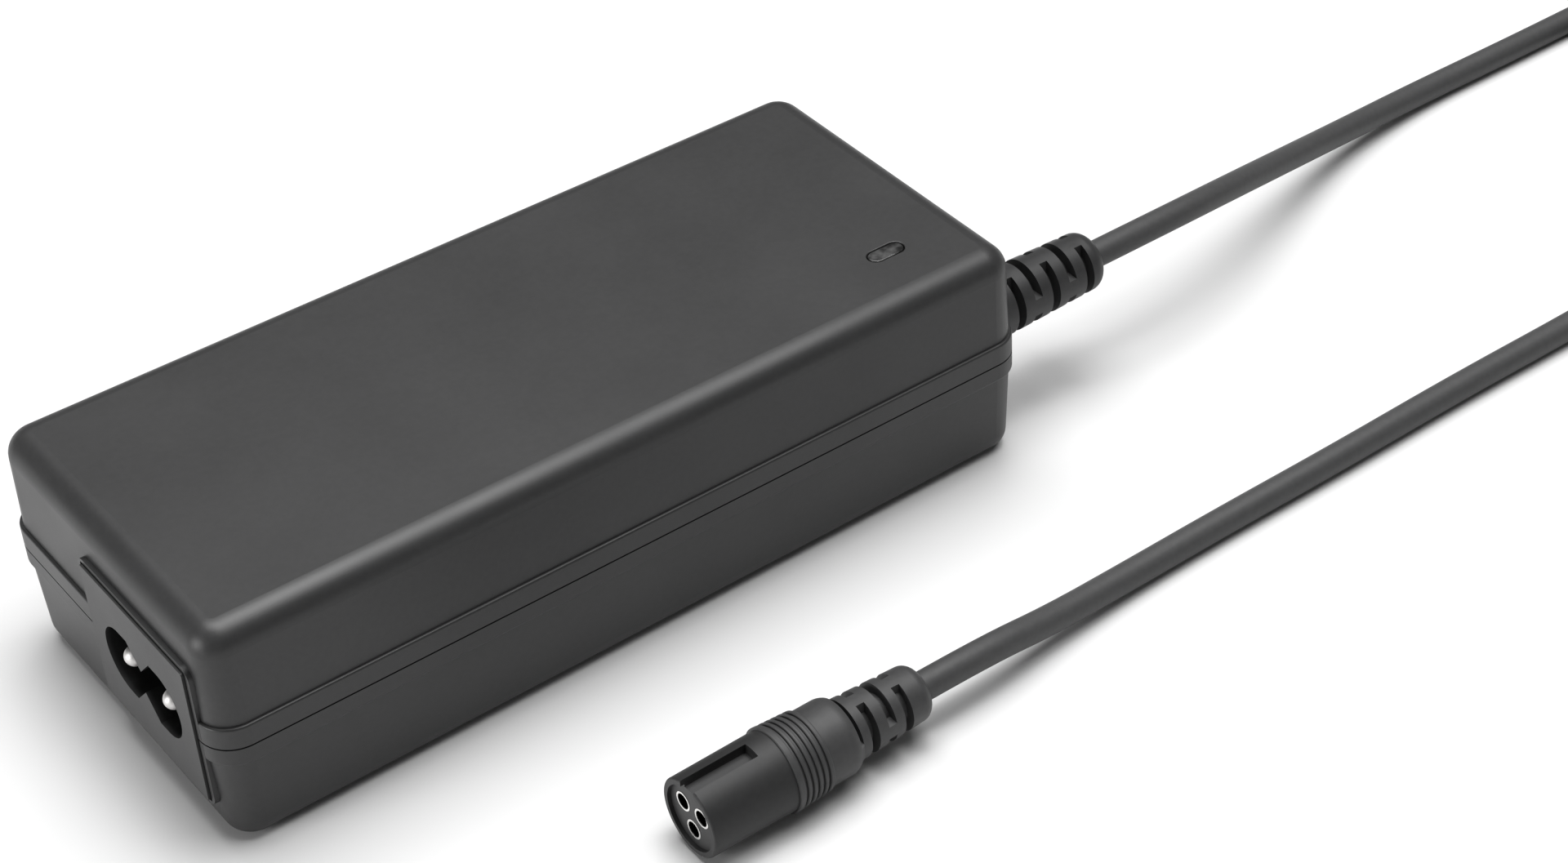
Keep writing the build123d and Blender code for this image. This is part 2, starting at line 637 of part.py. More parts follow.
def dc_strain_relief():
    """The boot on the case: a flange inside the wall, a neck in it and a slotted sleeve outside."""
    x = (BOOT_FLANGE_X[1], BOOT_END_X)
    boot = slotted_sleeve(x, (BOOT_R, BOOT_END_R), BOOT_Y, BOOT_Z, BOOT_END_ROUND)
    boot += rod_x(BOOT_FLANGE_X, BOOT_Y, BOOT_Z, BOOT_FLANGE_R)
    for row in range(BOOT_SLOT_ROWS):
        slot_x = BOOT_SLOT_FIRST_X + row * BOOT_SLOT_PITCH
        side = "z" if row % 2 else "y"
        boot -= slots(slot_x, BOOT_SLOT_WIDTH, BOOT_Y, BOOT_Z, BOOT_CORE_R, BOOT_BRIDGE, side)
    return boot


def tube(path, radius):
    """A round tube along a path."""
    section = Plane(path @ 0, z_dir=path % 0) * Circle(radius)
    return sweep(section, path=path)


def dc_wire(offset):
    """An inner wire of the cord, from the boot down to the board."""
    y = BOOT_Y + offset * WIRE_PITCH
    points = [(BOOT_FLANGE_X[0], y, BOOT_Z), (WIRE_X, y, BOOT_Z), (WIRE_X, y, BOARD_TOP_Z)]
    return tube(FilletPolyline(*points, radius=WIRE_BEND_R), WIRE_R)


def bend_radii(points):
    """The largest arc at each corner of a route: 0.45 of its shorter run on either side."""
    radii = []
    corners = [Vector(*point) for point in points]
    for before, here, after in zip(corners, corners[1:], corners[2:]):
        turn = math.radians((here - before).get_angle(after - here))
        shorter = min((here - before).length, (after - here).length)
        radii.append(0.45 * shorter / math.tan(turn / 2))
    return radii


def cord_run(name, points):
    """A stretch of cord along straight runs joined by tangent arcs."""
    radii = bend_radii(points)
    path = FilletPolyline(*points, radius=radii)
    solid = tube(path, CORD_R)
    expected = math.pi * CORD_R**2 * path.length
    print(name, "length", round(path.length, 1), "volume ratio", round(solid.volume / expected, 4))
    print("  radii", [round(radius) for radius in radii])
    return solid


def coil_tie():
    """A strap round the coil's turns, on the side away from the case."""
    x = (COIL_X + COIL_INNER_R, COIL_X + COIL_OUTER_R)
    y = (COIL_Y - TIE_WIDTH / 2, COIL_Y + TIE_WIDTH / 2)
    z = (TIE_THICKNESS, COIL_HEIGHT)
    x_outer = (x[0] - TIE_THICKNESS, x[1] + TIE_THICKNESS)
    outer = block(x_outer, y, (0, COIL_HEIGHT + TIE_THICKNESS))
    outer = fillet(outer.edges().filter_by(Axis.Y), TIE_EDGE_R)
    inner = block(x, (y[0] - TIE_WIDTH, y[1] + TIE_WIDTH), z)
    return outer - fillet(inner.edges().filter_by(Axis.Y), TIE_EDGE_R - TIE_THICKNESS)


def dc_cord_coil():
    """The outer shape of the coil, with the cord's tangents where it comes in and goes out."""
    z = (0, COIL_HEIGHT)
    ring = post(COIL_X, COIL_Y, z, COIL_OUTER_R) - post(COIL_X, COIL_Y, z, COIL_INNER_R)
    ring = fillet(ring.edges(), COIL_EDGE_R)
    ring += rod_x((LEAD_X, COIL_X), COIL_Y + OUTER_TURN_R, REST_Z, CORD_R)
    ring += rod_x((LEAD_X, COIL_X), COIL_Y - OUTER_TURN_R, UPPER_Z, CORD_R)
    return ring - coil_tie()


def at_plug(shape):
    """Moves a shape made about the X axis to the connector's axis."""
    return Pos(0, PLUG_Y, PLUG_Z) * shape


def keyway():
    """The slot in the top of the barrel, which reaches a little way into the insert."""
    half = KEYWAY_WIDTH / 2
    return block((BARREL_X[0], KEYWAY_END_X), (-half, half), (KEYWAY_FLOOR, 2 * BARREL_REAR_R))


def connector_barrel():
    """A hard tube with a keyway in its top, open at the front."""
    barrel = cone_x(BARREL_X, 0, 0, BARREL_FRONT_R, BARREL_REAR_R)
    barrel = fillet(barrel.edges().sort_by(Axis.X)[0], BARREL_EDGE_R)
    barrel += rod_x((BARREL_X[1], BARREL_TAIL_X), 0, 0, BARREL_TAIL_R)
    barrel -= rod_x((BARREL_X[0], BARREL_TAIL_X), 0, 0, BARREL_BORE_R)
    return at_plug(barrel - keyway())


def socket_places():
    """The middles of the three contacts, about the connector's axis."""
    turns = [math.radians(angle) for angle in SOCKET_ANGLES]
    return [(SOCKET_CIRCLE_R * math.cos(turn), SOCKET_CIRCLE_R * math.sin(turn)) for turn in turns]


def connector_insert():
    """The insulator inside the barrel, with a bore for each contact."""
    x = (INSERT_FACE_X, INSERT_END_X)
    insert = rod_x(x, 0, 0, BARREL_BORE_R) - keyway()
    for y, z in socket_places():
        insert -= rod_x(x, y, z, SOCKET_OUTER_R)
    return at_plug(insert)


def connector_contact(y, z):
    """A turned socket, open at the front."""
    front = INSERT_FACE_X - SOCKET_PROUD
    body = rod_x((front, INSERT_END_X), y, z, SOCKET_OUTER_R)
    return at_plug(body - rod_x((front, front + SOCKET_DEPTH), y, z, SOCKET_BORE_R))


def connector_grip():
    """The band of rounded ribs that fingers hold."""
    x = (BARREL_X[1], GRIP_END_X)
    grip = cone_x(x, 0, 0, GRIP_FRONT_R, GRIP_REAR_R)
    slope = (GRIP_REAR_R - GRIP_FRONT_R) / (x[1] - x[0])
    half = GRIP_GROOVE_WIDTH / 2
    for middle in GRIP_GROOVES_X:
        floor = GRIP_FRONT_R + slope * (middle - x[0]) - GRIP_GROOVE_DEPTH
        grip -= ring_x((middle - half, middle + half), 0, 0, 2 * GRIP_FRONT_R, floor)
    circles = grip.edges().filter_by(GeomType.CIRCLE)
    rims = [edge for edge in circles if edge.radius > GRIP_REAR_R - GRIP_EDGE_R / 2]
    return fillet(rims, GRIP_EDGE_R)


def connector_overmold():
    """The soft grip: a ribbed band, a smooth head with a rounded shoulder and a slotted tail."""
    head = rod_x((GRIP_END_X - 1, HEAD_END_X), 0, 0, HEAD_R)
    head = fillet(head.edges().sort_by(Axis.X)[-1], HEAD_ROUND)
    tail = slotted_sleeve((0, TAIL_END_X), (TAIL_R, TAIL_END_R), 0, 0, TAIL_END_ROUND)
    overmold = connector_grip() + head + tail
    for x, width, side in TAIL_SLOTS:
        overmold -= slots(x, width, 0, 0, TAIL_CORE_R, TAIL_BRIDGE, side)
    overmold -= rod_x((BARREL_X[1] - 1, BARREL_TAIL_X), 0, 0, BARREL_TAIL_R)
    return at_plug(overmold - rod_x((BARREL_TAIL_X - 1, INSERT_END_X), 0, 0, BARREL_BORE_R))


def adapter():
    """Every piece of the adapter, by its name."""
    pieces = {
        "top_cover": top_cover(),
        "bottom_cover": bottom_cover(),
        "rating_label": rating_label(),
        "led_lens": led_lens(),
        "inlet_housing": inlet_housing(),
        "inlet_pin_line": inlet_pin(1),
        "inlet_pin_neutral": inlet_pin(-1),
        "main_board": main_board(),
        "insulation_sheet": insulation_sheet(),
        "primary_heatsink": heatsink(PRIMARY_HEATSINK_X),
        "secondary_heatsink": heatsink(SECONDARY_HEATSINK_X),
        "fuse": fuse(),
        "varistor": disc_part(*VARISTOR, "x"),
        "inrush_thermistor": disc_part(*THERMISTOR, "x"),
        "x_capacitor": x_capacitor(),
        "common_mode_choke_core": toroid(0),
        "common_mode_choke_winding": choke_winding(),
        "bridge_rectifier": bridge_rectifier(),
        "bulk_capacitor": bulk_capacitor(),
        "power_mosfet": transistor(MOSFET_X),
        "pwm_controller": chip(*CONTROLLER),
        "transformer_core": transformer_core(),
        "transformer_winding": transformer_winding(),
        "y_capacitor": disc_part(*Y_CAPACITOR, "y"),
        "optocoupler": chip(*OPTOCOUPLER),
        "output_rectifier": transistor(RECTIFIER_X),
        "heatsink_screws": Compound([heatsink_screw(MOSFET_X), heatsink_screw(RECTIFIER_X)]),
        "output_choke": output_choke(),
        "output_capacitor_1": can(CAN_Y[0]),
        "output_capacitor_2": can(CAN_Y[1]),
        "status_led": status_led(),
        "dc_wire_positive": dc_wire(1),
        "dc_wire_sense": dc_wire(0),
        "dc_wire_negative": dc_wire(-1),
        "dc_strain_relief": dc_strain_relief(),
        "dc_cord_to_coil": cord_run("dc_cord_to_coil", ROUTE_TO_COIL),
        "dc_cord_coil": dc_cord_coil(),
        "coil_tie": coil_tie(),
        "dc_cord_to_connector": cord_run("dc_cord_to_connector", ROUTE_TO_PLUG),
        "connector_barrel": connector_barrel(),
        "connector_insert": connector_insert(),
        "connector_overmold": connector_overmold(),
    }
    for number, (y, z) in enumerate(socket_places(), start=1):
        pieces[f"connector_contact_{number}"] = connector_contact(y, z)
    return pieces


os.makedirs("parts", exist_ok=True)
for name, shape in adapter().items():
    export_step(shape, f"parts/{name}.step")
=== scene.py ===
import json
import math

import bmesh
import bpy
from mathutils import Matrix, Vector


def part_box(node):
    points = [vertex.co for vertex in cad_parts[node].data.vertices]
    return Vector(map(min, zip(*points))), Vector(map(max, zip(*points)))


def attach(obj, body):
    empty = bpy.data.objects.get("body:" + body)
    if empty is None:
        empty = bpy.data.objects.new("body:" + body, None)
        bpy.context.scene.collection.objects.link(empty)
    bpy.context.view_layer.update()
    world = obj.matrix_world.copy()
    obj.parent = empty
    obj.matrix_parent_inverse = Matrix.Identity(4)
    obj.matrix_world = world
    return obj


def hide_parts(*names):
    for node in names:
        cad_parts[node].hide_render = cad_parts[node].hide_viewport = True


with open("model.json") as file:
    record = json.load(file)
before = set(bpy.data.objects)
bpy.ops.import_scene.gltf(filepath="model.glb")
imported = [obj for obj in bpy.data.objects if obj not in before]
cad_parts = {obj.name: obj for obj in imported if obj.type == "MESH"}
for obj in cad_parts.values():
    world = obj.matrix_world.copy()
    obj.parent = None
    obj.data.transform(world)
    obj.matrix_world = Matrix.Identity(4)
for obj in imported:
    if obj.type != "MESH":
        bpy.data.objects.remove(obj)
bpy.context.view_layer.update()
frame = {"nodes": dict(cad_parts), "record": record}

# A laptop power adapter: its case, its low-voltage cord with the stored coil, and the connector.
# Lengths are in metres, or in millimetres where a name ends in MM or mm. The frame is the CAD
# model's own.
MM = 0.001

# Camera
CAMERA_PLACE_MM = (-138.5, -252.58, 242.14)
CAMERA_TURN = math.radians(-40.02)  # about Z, from looking along +Y
CAMERA_RISE = math.radians(38.11)
CAMERA_LENS_MM = 72.69
CAMERA_SHIFT = (-0.1557, -0.0237)

# Light
WORLD_STRENGTH = 0.11
SOFTBOXES = (  # name, place, width and power in watts
    ("back_light", (0.12, 0.3, 1.2), 0.8, 14.5),
    ("top_light", (0.33, -0.15, 1.13), 0.7, 9.0),
    ("inlet_light", (-1.1, 0.1, 0.25), 0.5, 6.5),
)
WHITE = (1, 1, 1, 1)
FLOOR_HALF = 6.0  # half of the square floor's side

# The cord's route where it isn't coiled, the same points as the CAD tubes have
ROUTE_TO_COIL_MM = (
    (71.9, -13.8, 14.15),
    (83.5, -13.8, 14.15),
    (96.0, -11.8, 12.3),
    (110.5, -7.5, 8.2),
    (126.5, -2.9, 3.8),
    (143.5, -0.8, 1.9),
    (161.5, -1.0, 1.8),
    (178.0, -1.0, 1.8),
)
ROUTE_TO_PLUG_MM = (
    (178.0, -51.0, 5.3),
    (166.0, -51.0, 5.3),
    (152.0, -50.8, 2.9),
    (137.0, -51.1, 1.85),
    (120.0, -51.2, 1.8),
    (100.0, -50.9, 1.8),
    (79.0, -51.15, 1.8),
    (60.0, -51.0, 1.8),
    (45.0, -51.3, 2.0),
    (33.0, -52.2, 3.1),
    (23.0, -53.16, 5.15),
    (13.4, -53.16, 5.15),
)
CORD_DIAMETER_MM = 3.5
CORD_RING_STEPS = 7
CORD_SPAN_STEPS = 6
CORD_CURVE_ORDER = 3  # a quadratic curve
REST_Z_MM = 1.8
COIL_MIDDLE_MM = (191.5, -26.0)
OUTER_TURN_R_MM = 25.0
POINTS_PER_TURN = 20
LOWER_TURNS = 4
ALL_TURNS = 7.5
STEP_IN_START = 0.8  # where in each lower turn the cord steps in to the next one
STEP_OUT_START = 0.5  # where in each upper turn it steps out
STEP_SPAN = 0.2
CLIMB_START = 3.7  # the turn at which it climbs to the upper layer
CLIMB_SPAN = 0.25

# The strap round the coil
STRAP_THICKNESS = 0.4 * MM
STRAP_BEND_R = 1.4 * MM
STRAP_BEND_STEPS = 8
STRAP_LIFT = 0.45 * MM  # of the tail, which lies on the first layer
STRAP_OVERLAP = 3.5 * MM  # how far each end passes the middle of the top, the tail without its tip
STRAP_TIP = 2.5 * MM  # the length of the rounded tip
STRAP_TIP_STEPS = 8
STRAP_TIP_END = 0.15  # how wide the tip ends, as a part of the strap's width
STRAP_EDGE = 0.08 * MM  # the bevel on its edges
STRAP_EDGE_STEPS = 2
STRAP_SIDES = ((1, 1), (-1, 1), (-1, -1), (1, -1))  # outward and along Y, round its section

# Finishes, by material. Grain and facets are per metre; depths and pitches are in metres.
MOULDED = {
    "case": dict(colour=(0.027, 0.027, 0.0273), roughness=0.42, depth=0.000012, shine=0.42),
    # The inlet's colour falls to near black inside its opening: painted shade.
    "inlet": dict(colour=(0.031, 0.031, 0.0313), roughness=0.45, shine=0.42, painted_shade_x_mm=(-53.75, -53.2)),
    "boot": dict(colour=(0.03, 0.03, 0.0305), roughness=0.46, grain=6000.0),
    "cord": dict(colour=(0.054, 0.054, 0.0546), roughness=0.5, grain=5000.0),
    "grip": dict(colour=(0.045, 0.045, 0.0455), roughness=0.46, grain=6000.0),
    "barrel": dict(colour=(0.024, 0.024, 0.0243), roughness=0.5, grain=7000.0, shine=0.28),
    "insert": dict(colour=(0.03, 0.03, 0.0305), roughness=0.5),
    "label": dict(colour=(0.1, 0.1, 0.105), roughness=0.38, grain=3000.0, depth=0.000003),
    "board": dict(colour=(0.03, 0.13, 0.05), roughness=0.35, grain=2500.0),
    "ferrite": dict(colour=(0.05, 0.05, 0.055), roughness=0.6, grain=5000.0, depth=0.00002),
    "can": dict(colour=(0.02, 0.025, 0.07), roughness=0.3, grain=2000.0, depth=0.000003),
    "moulding": dict(colour=(0.025, 0.025, 0.027), roughness=0.55, grain=8000.0),
    "film": dict(colour=(0.72, 0.56, 0.12), roughness=0.33, grain=2500.0, depth=0.000004),
    "ceramic": dict(colour=(0.06, 0.2, 0.42), roughness=0.3, grain=1800.0),
    "wire": dict(colour=(0.55, 0.03, 0.02), roughness=0.4, grain=3000.0),
}
METALS = {
    "nickel": dict(colour=(0.66, 0.65, 0.64), roughness=0.5),
    # The contact's colour falls to near black inside the connector's opening: painted shade.
    "contact": dict(colour=(0.85, 0.84, 0.82), roughness=0.3, painted_shade_x_mm=(-16.43, -16.3)),
    "heatsink": dict(colour=(0.72, 0.73, 0.74), roughness=0.38, axis="Z"),
    "screw": dict(colour=(0.62, 0.62, 0.6), roughness=0.3),
}
CLEAR = {
    "lens": dict(
        colour=(0.05, 0.05, 0.05),
        roughness=0.16,
        transmission=0.12,
        # The wide spread of tone is painted reflections: lighter patches for light off the light pipe's
        # facets inside.
        spread=0.75,
        facets=1100.0,
        facet_depth=0.00012,
    ),
    "sheet": dict(colour=(0.85, 0.82, 0.72), roughness=0.45, transmission=0.35),
    "lamp": dict(colour=(0.85, 0.9, 0.85), roughness=0.05, transmission=0.8),
}
WOUND = {
    "copper": dict(colour=(0.7, 0.33, 0.14), axis="X", pitch=0.0007, roughness=0.3, metallic=0.8),
    "tape": dict(colour=(0.85, 0.62, 0.06), axis="Z", pitch=0.004, roughness=0.3),
    "tie": dict(colour=(0.025, 0.025, 0.026), axis="DIAGONAL", pitch=0.0006, roughness=0.8),
}
NOISE_RANGE = (0.3, 0.7)  # where most of a noise's values lie
RAMP_RANGE = (0.35, 0.65)  # where a colour changes, in the same values
PAINTED_SHADE_COLOUR = (0.003, 0.003, 0.003, 1)  # painted shade: the colour deep inside an opening
RESIN_IOR = 1.49
WAVE_BANDS = 3.2  # how many bands a wave texture has per metre, for a scale of 1


def ease(value):
    """0 to 1 with level ends."""
    value = min(max(value, 0.0), 1.0)
    return value * value * (3 - 2 * value)


def steps(turn, start):
    """How many steps of one cord's diameter the coil has taken by a number of turns."""
    whole = math.floor(turn - start)
    return whole + ease((turn - start - whole) / STEP_SPAN)


def coil_point(turn):
    """A point of the coil's middle line: four turns inward on the floor, then outward on top."""
    inward = min(max(steps(turn, STEP_IN_START), 0), LOWER_TURNS - 1)
    outward = max(steps(turn, STEP_OUT_START) - LOWER_TURNS, 0)
    radius = OUTER_TURN_R_MM - CORD_DIAMETER_MM * (inward - outward)
    climb = ease((turn - CLIMB_START) / CLIMB_SPAN)
    reach = radius / math.cos(math.pi / POINTS_PER_TURN)
    angle = math.tau * turn
    return (
        COIL_MIDDLE_MM[0] + reach * math.sin(angle),
        COIL_MIDDLE_MM[1] + reach * math.cos(angle),
        REST_Z_MM + CORD_DIAMETER_MM * climb,
    )


def cord_points():
    """The whole route: to the coil, round its turns and on to the connector.

    The curve touches the middle of each side between the coil's points, so they are half a step off.
    """
    count = round(ALL_TURNS * POINTS_PER_TURN)
    turns = [coil_point((i - 0.5) / POINTS_PER_TURN) for i in range(count + 2)]
    return [*ROUTE_TO_COIL_MM, *turns, *ROUTE_TO_PLUG_MM]


def add_object(name, data):
    """A new object of the scene."""
    obj = bpy.data.objects.new(name, data)
    bpy.context.scene.collection.objects.link(obj)
    return obj


def face(obj, direction):
    """Turns a camera or a light to look in one direction."""
    obj.rotation_euler = direction.to_track_quat("-Z", "Y").to_euler()


def make_cord():
    """The free cord as one smooth tube."""
    curve = bpy.data.curves.new("dc_cord", "CURVE")
    curve.dimensions = "3D"
    curve.bevel_depth = CORD_DIAMETER_MM / 2 * MM
    curve.bevel_resolution = CORD_RING_STEPS
    curve.resolution_u = CORD_SPAN_STEPS
    spline = curve.splines.new("NURBS")
    points = cord_points()
    spline.points.add(len(points) - 1)
    for target, point in zip(spline.points, points):
        target.co = (*(value * MM for value in point), 1.0)
    spline.order_u = CORD_CURVE_ORDER
    spline.use_endpoint_u = True
    return add_object("dc_cord", curve)


def strap_bend(middle, start, lift=0.0):
    """A quarter turn of the strap in the XZ plane, from a start angle in degrees.

    It moves outward by the lift on its way.
    """
    points = []
    for i in range(STRAP_BEND_STEPS + 1):
        part = i / STRAP_BEND_STEPS
        angle = math.radians(start + 90 * part)
        reach = STRAP_BEND_R + lift * part
        points.append((middle[0] + reach * math.cos(angle), middle[1] + reach * math.sin(angle)))
    return points


def strap_line(low, high):
    """Once round the coil from the middle of its top, then a tail over the first layer.

    Each entry is X, Z and how wide the strap is there, as a part of its full width.
    """
    inset = STRAP_THICKNESS / 2 + STRAP_BEND_R
    left, right = low.x + inset, high.x - inset
    bottom, top = low.z + inset, high.z - inset
    middle = (left + right) / 2
    points = [(middle + STRAP_OVERLAP, top + STRAP_BEND_R)]
    points += strap_bend((left, top), 90)
    points += strap_bend((left, bottom), 180)
    points += strap_bend((right, bottom), 270)
    points += strap_bend((right, top), 0, STRAP_LIFT)
    line = [(x, z, 1.0) for x, z in points]
    for i in range(STRAP_TIP_STEPS + 1):
        angle = math.pi / 2 * i / STRAP_TIP_STEPS
        x = middle - STRAP_OVERLAP - STRAP_TIP * math.sin(angle)
        width = max(math.cos(angle), STRAP_TIP_END)
        line.append((x, top + STRAP_BEND_R + STRAP_LIFT, width))
    return line


def ribbon(name, line, middle_y, half_width):
    """A mesh of the strap's thickness along a line in the XZ plane."""
    shape = bmesh.new()
    rows = []
    for i, (x, z, width) in enumerate(line):
        before = line[max(i - 1, 0)]
        after = line[min(i + 1, len(line) - 1)]
        along = Vector((after[0] - before[0], after[1] - before[1])).normalized()
        out = Vector((along.y, -along.x)) * STRAP_THICKNESS / 2
        row = []
        for outward, sideways in STRAP_SIDES:
            y = middle_y + sideways * half_width * width
            row.append(shape.verts.new((x + outward * out.x, y, z + outward * out.y)))
        rows.append(row)
    for row, following in zip(rows, rows[1:]):
        for i in range(len(STRAP_SIDES)):
            shape.faces.new((row[i], row[i - 1], following[i - 1], following[i]))
    shape.faces.new(rows[0])
    shape.faces.new(reversed(rows[-1]))
    bmesh.ops.recalc_face_normals(shape, faces=shape.faces)
    mesh = bpy.data.meshes.new(name)
    shape.to_mesh(mesh)
    shape.free()
    mesh.shade_smooth()
    return mesh


def make_strap():
    """A hook-and-loop strap in the place of the CAD tie."""
    name = "hook_and_loop_strap"
    low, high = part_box("coil_tie")
    mesh = ribbon(name, strap_line(low, high), (low.y + high.y) / 2, (high.y - low.y) / 2)
    strap = add_object(name, mesh)
    bevel = strap.modifiers.new("edges", "BEVEL")
    bevel.width = STRAP_EDGE
    bevel.segments = STRAP_EDGE_STEPS
    bevel.harden_normals = True
    return strap


def make_camera():
    """The view that the scene is made for."""
    camera = add_object("camera", bpy.data.cameras.new("camera"))
    camera.data.lens = CAMERA_LENS_MM
    camera.data.shift_x, camera.data.shift_y = CAMERA_SHIFT
    camera.location = Vector(CAMERA_PLACE_MM) * MM
    back = Vector(
        (
            math.sin(CAMERA_TURN) * math.cos(CAMERA_RISE),
            -math.cos(CAMERA_TURN) * math.cos(CAMERA_RISE),
            math.sin(CAMERA_RISE),
        )
    )
    face(camera, -back)
    bpy.context.scene.camera = camera


class Nodes:
    """A material's node tree, with short calls for the nodes that the finishes share."""

    def __init__(self, name):
        self.material = bpy.data.materials.new(name)
        self.material.use_nodes = True
        self.tree = self.material.node_tree
        self.shader = self.tree.nodes["Principled BSDF"]
        self.place = self.tree.nodes.new("ShaderNodeTexCoord").outputs["Object"]

    def add(self, kind, values):
        """A node of one kind, with values for some of its sockets."""
        node = self.tree.nodes.new(kind)
        for socket, value in values.items():
            node.inputs[socket].default_value = value
        return node

    def link(self, source, target):
        self.tree.links.new(source, target)

    def fix(self, socket, value):
        """One value for the whole surface, on the shader's own socket."""
        self.shader.inputs[socket].default_value = value

    def noise(self, scale, detail):
        """Noise with features of about 1/scale metres."""
        node = self.add("ShaderNodeTexNoise", {"Scale": scale, "Detail": detail})
        self.link(self.place, node.inputs["Vector"])
        return node.outputs["Fac"]

    def waves(self, scale, axis, distortion):
        """Bands that follow one another along an axis."""
        node = self.add("ShaderNodeTexWave", {"Scale": scale, "Distortion": distortion})
        node.bands_direction = axis
        self.link(self.place, node.inputs["Vector"])
        return node.outputs["Fac"]

    def mapped(self, source, from_range, to_range=(0.0, 1.0)):
        """A value moved from one range to another."""
        node = self.add(
            "ShaderNodeMapRange",
            {
                "From Min": from_range[0],
                "From Max": from_range[1],
                "To Min": to_range[0],
                "To Max": to_range[1],
            },
        )
        self.link(source, node.inputs["Value"])
        return node.outputs["Result"]

    def tones(self, source, colour, spread):
        """The surface's colour, from a little darker than one to a little lighter, by a value."""
        node = self.tree.nodes.new("ShaderNodeValToRGB")
        factors = (1 - spread, 1 + spread)
        for stop, position, factor in zip(node.color_ramp.elements, RAMP_RANGE, factors):
            stop.position = position
            stop.color = (*(channel * factor for channel in colour), 1)
        self.link(source, node.inputs["Fac"])
        self.link(node.outputs["Color"], self.shader.inputs["Base Color"])

    def rough(self, source, low, high):
        """The surface's roughness, between two values."""
        self.link(self.mapped(source, NOISE_RANGE, (low, high)), self.shader.inputs["Roughness"])

    def bump(self, source, depth, strength=1.0):
        """Relief as deep as the source is high."""
        node = self.add("ShaderNodeBump", {"Distance": depth, "Strength": strength})
        self.link(source, node.inputs["Height"])
        self.link(node.outputs["Normal"], self.shader.inputs["Normal"])

    def paint_shade_inside(self, mouth_x_mm, deep_x_mm):
        """Painted shade in an opening along +X: the colour falls away from its mouth inward, to near
        black, where shade falls.
        """
        split = self.tree.nodes.new("ShaderNodeSeparateXYZ")
        self.link(self.place, split.inputs["Vector"])
        mix = self.tree.nodes.new("ShaderNodeMix")
        mix.data_type = "RGBA"
        depth = self.mapped(split.outputs["X"], (mouth_x_mm * MM, deep_x_mm * MM))
        self.link(depth, mix.inputs["Factor"])
        self.link(self.shader.inputs["Base Color"].links[0].from_socket, mix.inputs["A"])
        mix.inputs["B"].default_value = PAINTED_SHADE_COLOUR
        self.link(mix.outputs["Result"], self.shader.inputs["Base Color"])


def moulded(name, colour, roughness, grain=9000.0, depth=0.00001, shine=0.35, painted_shade_x_mm=None):
    """Moulded plastic or rubber: fine grain, slow drift in tone and in gloss."""
    nodes = Nodes(name)
    nodes.tones(nodes.noise(scale=1400.0, detail=4.0), colour, spread=0.06)
    nodes.rough(nodes.noise(scale=60.0, detail=3.0), roughness - 0.04, roughness + 0.04)
    nodes.bump(nodes.noise(scale=grain, detail=3.0), depth, strength=0.6)
    nodes.fix("Specular IOR Level", shine)
    # Painted shade inside an opening along +X, where a range is given.
    if painted_shade_x_mm:
        nodes.paint_shade_inside(*painted_shade_x_mm)
    return nodes.material


def metal(name, colour, roughness, axis="X", painted_shade_x_mm=None):
    """Turned or drawn metal with fine lines across one axis."""
    nodes = Nodes(name)
    nodes.tones(nodes.noise(scale=900.0, detail=3.0), colour, spread=0.08)
    nodes.rough(nodes.noise(scale=300.0, detail=3.0), roughness - 0.05, roughness + 0.06)
    nodes.bump(nodes.waves(scale=4000.0, axis=axis, distortion=3.0), depth=0.000004, strength=0.5)
    nodes.fix("Metallic", 1.0)
    # Painted shade inside an opening along +X, where a range is given.
    if painted_shade_x_mm:
        nodes.paint_shade_inside(*painted_shade_x_mm)
    return nodes.material


def clear(name, colour, roughness, transmission, spread=0.1, facets=300.0, facet_depth=0.00001):
    """Glass or clear resin, with uneven tone for the look of what lies under it; with a wide spread, as
    on the lens, that tone is painted reflection.
    """
    nodes = Nodes(name)
    nodes.tones(nodes.noise(scale=700.0, detail=2.0), colour, spread)
    nodes.rough(nodes.noise(scale=1500.0, detail=2.0), roughness, roughness + 0.05)
    nodes.bump(nodes.noise(scale=facets, detail=1.0), facet_depth)
    nodes.fix("Transmission Weight", transmission)
    nodes.fix("IOR", RESIN_IOR)
    return nodes.material


def wound(name, colour, axis, pitch, roughness, metallic=0.0):
    """Wire or tape laid in turns, or woven threads: ridges that follow one another along an axis, with
    painted shade in the grooves between them.
    """
    nodes = Nodes(name)
    turns = nodes.waves(scale=1.0 / pitch / WAVE_BANDS, axis=axis, distortion=0.6)
    # The colour follows the ridges' bands: darker in the grooves, which is painted shade, and lighter
    # on the ridges, which is painted light.
    nodes.tones(turns, colour, spread=0.25)
    nodes.rough(nodes.noise(scale=800.0, detail=3.0), roughness - 0.05, roughness + 0.08)
    nodes.bump(turns, depth=pitch / 6, strength=0.8)
    nodes.fix("Metallic", metallic)
    return nodes.material


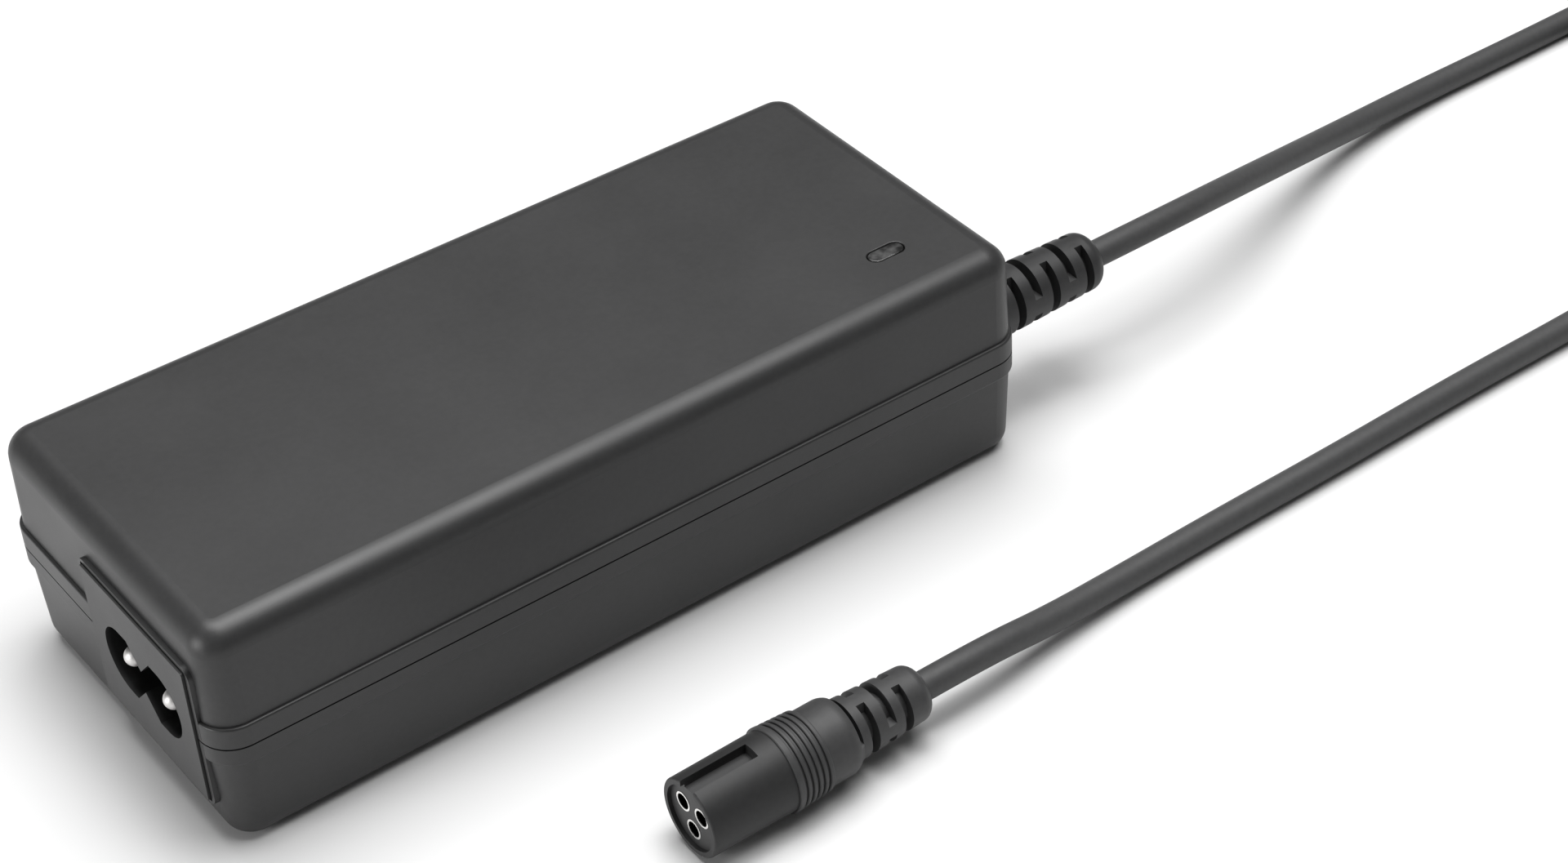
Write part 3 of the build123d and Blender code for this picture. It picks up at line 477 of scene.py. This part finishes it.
def finishes():
    """Every material of the adapter, by its name in the tables."""
    kinds = ((moulded, MOULDED), (metal, METALS), (clear, CLEAR), (wound, WOUND))
    return {name: make(name, **values) for make, table in kinds for name, values in table.items()}


def floor_material():
    """Pale, matt and nearly even."""
    nodes = Nodes("floor")
    nodes.tones(nodes.noise(scale=8.0, detail=2.0), colour=(0.7, 0.7, 0.7), spread=0.0143)
    nodes.rough(nodes.noise(scale=20.0, detail=2.0), low=0.75, high=0.85)
    nodes.fix("Specular IOR Level", 0.2)
    return nodes.material


def make_floor():
    """The surface that everything stands on, which isn't a part of the adapter."""
    mesh = bpy.data.meshes.new("floor")
    corners = [(x * FLOOR_HALF, y * FLOOR_HALF, 0) for x, y in ((-1, -1), (1, -1), (1, 1), (-1, 1))]
    mesh.from_pydata(corners, [], [(0, 1, 2, 3)])
    mesh.materials.append(floor_material())
    add_object("floor", mesh)


def add_softbox(name, place, size, power):
    """A square area light that faces the case."""
    light = bpy.data.lights.new(name, "AREA")
    light.size = size
    light.energy = power
    obj = add_object(name, light)
    obj.location = place
    face(obj, -Vector(place))


def make_lights():
    """Plain studio light: two boxes overhead and a low one at the inlet end."""
    world = bpy.data.worlds.new("studio")
    world.use_nodes = True
    background = world.node_tree.nodes["Background"]
    background.inputs["Color"].default_value = WHITE
    background.inputs["Strength"].default_value = WORLD_STRENGTH
    bpy.context.scene.world = world
    for name, place, size, power in SOFTBOXES:
        add_softbox(name, place, size, power)
    bpy.context.scene.view_settings.view_transform = "Standard"


def give_finishes(materials):
    """Each CAD node takes the material of its slot in the record, and the sockets take their own."""
    slots = {part["node"]: part["material_slot"] for part in frame["record"]["subparts"]}
    for name, node in frame["nodes"].items():
        node.data.materials.clear()
        slot = "contact" if name.startswith("connector_contact") else slots[name]
        node.data.materials.append(materials[slot])


make_camera()
cord = make_cord()
materials = finishes()
cord.data.materials.append(materials["cord"])
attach(cord, "root")
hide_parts("dc_cord_to_coil", "dc_cord_coil", "dc_cord_to_connector")
strap = make_strap()
strap.data.materials.append(materials["tie"])
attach(strap, "root")
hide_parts("coil_tie")
give_finishes(materials)
make_floor()
make_lights()
